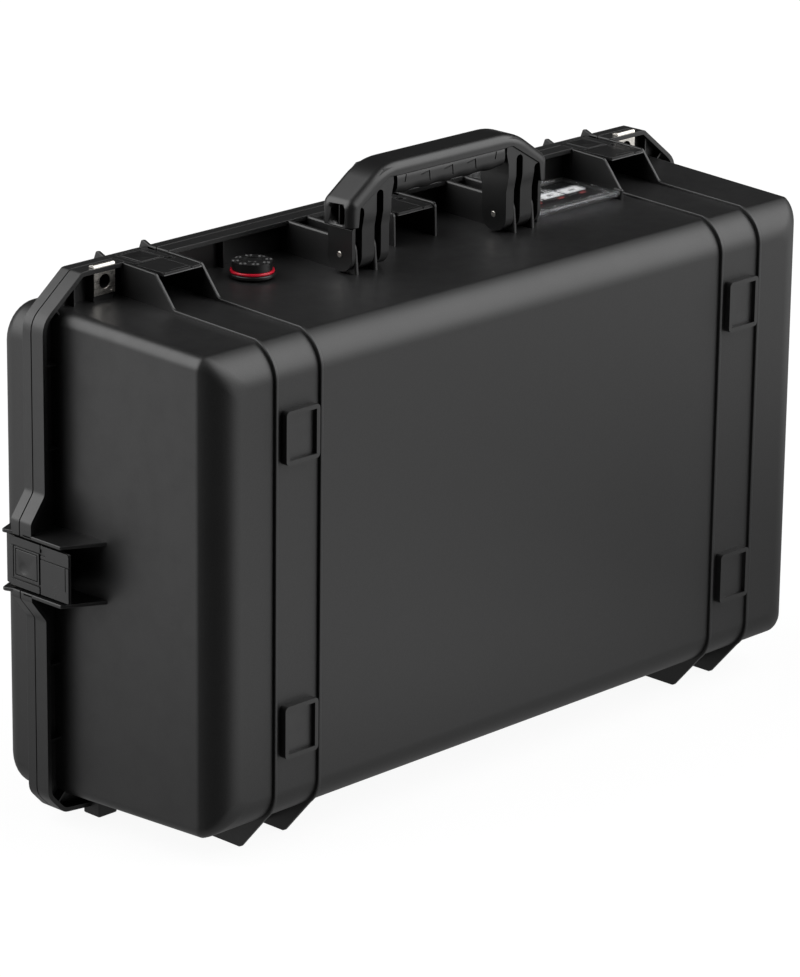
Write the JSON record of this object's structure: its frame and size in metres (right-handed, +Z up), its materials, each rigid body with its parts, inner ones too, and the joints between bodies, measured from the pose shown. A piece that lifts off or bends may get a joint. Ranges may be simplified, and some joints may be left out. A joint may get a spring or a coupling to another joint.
{
  "type": "drone carrying case",
  "caption": "Hard moulded carrying case with a hinged lid, swinging levers with push buttons, a fold-down handle and a foam insert for a folded drone and its kit.",
  "frame": {"origin": "on the surface that the case stands on, under the middle of its bounding box", "axes": "+X along the length of the case, +Y from the deep base towards the shallow lid, +Z up from the hinge side to the handle side"},
  "size_m": [0.731, 0.234, 0.4858],
  "materials": {
    "shell_black": "fine grain moulded",
    "trim_black": "satin moulded",
    "grip_rubber": "soft touch",
    "stainless_steel": "brushed",
    "seal_red": "satin",
    "gasket_rubber": "matte",
    "charcoal_foam": "open-cell foam",
    "card_paper": "matte",
    "clear_plastic": "clear, polished"
  },
  "bodies": {
    "base": {"base_shell": "shell_black", "base_foam_insert": "charcoal_foam", "base_foam_floor": "charcoal_foam", "hinge_pin_left": "stainless_steel", "hinge_pin_right": "stainless_steel", "handle_pin_left": "stainless_steel", "handle_pin_right": "stainless_steel", "padlock_plate_left": "stainless_steel", "padlock_plate_right": "stainless_steel", "vent_body": "trim_black", "vent_seal": "seal_red", "vent_cap": "trim_black", "vent_nut": "trim_black", "card": "card_paper"},
    "lid": {"lid_shell": "shell_black", "lid_gasket": "gasket_rubber", "lid_foam": "charcoal_foam", "latch_pin_front_left": "stainless_steel", "latch_pin_front_centre": "stainless_steel", "latch_pin_front_right": "stainless_steel", "latch_pin_side_left": "stainless_steel", "latch_pin_side_right": "stainless_steel"},
    "handle": {"handle_frame": "trim_black", "handle_grip": "grip_rubber"},
    "card_window": {"card_window": "clear_plastic"},
    "latch_front_left": {"latch_front_left": "trim_black", "button_spring_front_left": "stainless_steel"},
    "button_front_left": {"button_front_left": "trim_black"},
    "latch_front_centre": {"latch_front_centre": "trim_black", "button_spring_front_centre": "stainless_steel"},
    "button_front_centre": {"button_front_centre": "trim_black"},
    "latch_front_right": {"latch_front_right": "trim_black", "button_spring_front_right": "stainless_steel"},
    "button_front_right": {"button_front_right": "trim_black"},
    "latch_side_left": {"latch_side_left": "trim_black", "button_spring_side_left": "stainless_steel"},
    "button_side_left": {"button_side_left": "trim_black"},
    "latch_side_right": {"latch_side_right": "trim_black", "button_spring_side_right": "stainless_steel"},
    "button_side_right": {"button_side_right": "trim_black"}
  },
  "joints": [
    {"name": "lid_hinge", "type": "hinge", "parent": "base", "child": "lid", "pos_m": [0, 0.063, 0.0062], "axis": [-1, 0, 0], "range_deg": [0, 100]},
    {"name": "handle_fold", "type": "hinge", "parent": "base", "child": "handle", "pos_m": [0, -0.0115, 0.418], "axis": [1, 0, 0], "range_deg": [0, 86]},
    {"name": "card_window_hinge", "type": "hinge", "parent": "base", "child": "card_window", "pos_m": [0.1622, -0.0125, 0.4089], "axis": [1, 0, 0], "range_deg": [0, 100]},
    {"name": "latch_front_left_pivot", "type": "hinge", "parent": "lid", "child": "latch_front_left", "pos_m": [-0.24705, 0.0785, 0.423], "axis": [-1, 0, 0], "range_deg": [0, 80]},
    {"name": "button_front_left_push", "type": "slide", "parent": "latch_front_left", "child": "button_front_left", "axis": [0, 0, -1], "range_m": [0, 0.0025], "stiffness_N_per_m": 400, "deforming": ["button_spring_front_left"]},
    {"name": "latch_front_centre_pivot", "type": "hinge", "parent": "lid", "child": "latch_front_centre", "pos_m": [0, 0.0785, 0.423], "axis": [-1, 0, 0], "range_deg": [0, 80]},
    {"name": "button_front_centre_push", "type": "slide", "parent": "latch_front_centre", "child": "button_front_centre", "axis": [0, 0, -1], "range_m": [0, 0.0025], "stiffness_N_per_m": 400, "deforming": ["button_spring_front_centre"]},
    {"name": "latch_front_right_pivot", "type": "hinge", "parent": "lid", "child": "latch_front_right", "pos_m": [0.24705, 0.0785, 0.423], "axis": [-1, 0, 0], "range_deg": [0, 80]},
    {"name": "button_front_right_push", "type": "slide", "parent": "latch_front_right", "child": "button_front_right", "axis": [0, 0, -1], "range_m": [0, 0.0025], "stiffness_N_per_m": 400, "deforming": ["button_spring_front_right"]},
    {"name": "latch_side_left_pivot", "type": "hinge", "parent": "lid", "child": "latch_side_left", "pos_m": [-0.357, 0.0785, 0.214], "axis": [0, 0, -1], "range_deg": [0, 80]},
    {"name": "button_side_left_push", "type": "slide", "parent": "latch_side_left", "child": "button_side_left", "axis": [1, 0, 0], "range_m": [0, 0.0025], "stiffness_N_per_m": 400, "deforming": ["button_spring_side_left"]},
    {"name": "latch_side_right_pivot", "type": "hinge", "parent": "lid", "child": "latch_side_right", "pos_m": [0.357, 0.0785, 0.214], "axis": [0, 0, 1], "range_deg": [0, 80]},
    {"name": "button_side_right_push", "type": "slide", "parent": "latch_side_right", "child": "button_side_right", "axis": [-1, 0, 0], "range_m": [0, 0.0025], "stiffness_N_per_m": 400, "deforming": ["button_spring_side_right"]}
  ]
}
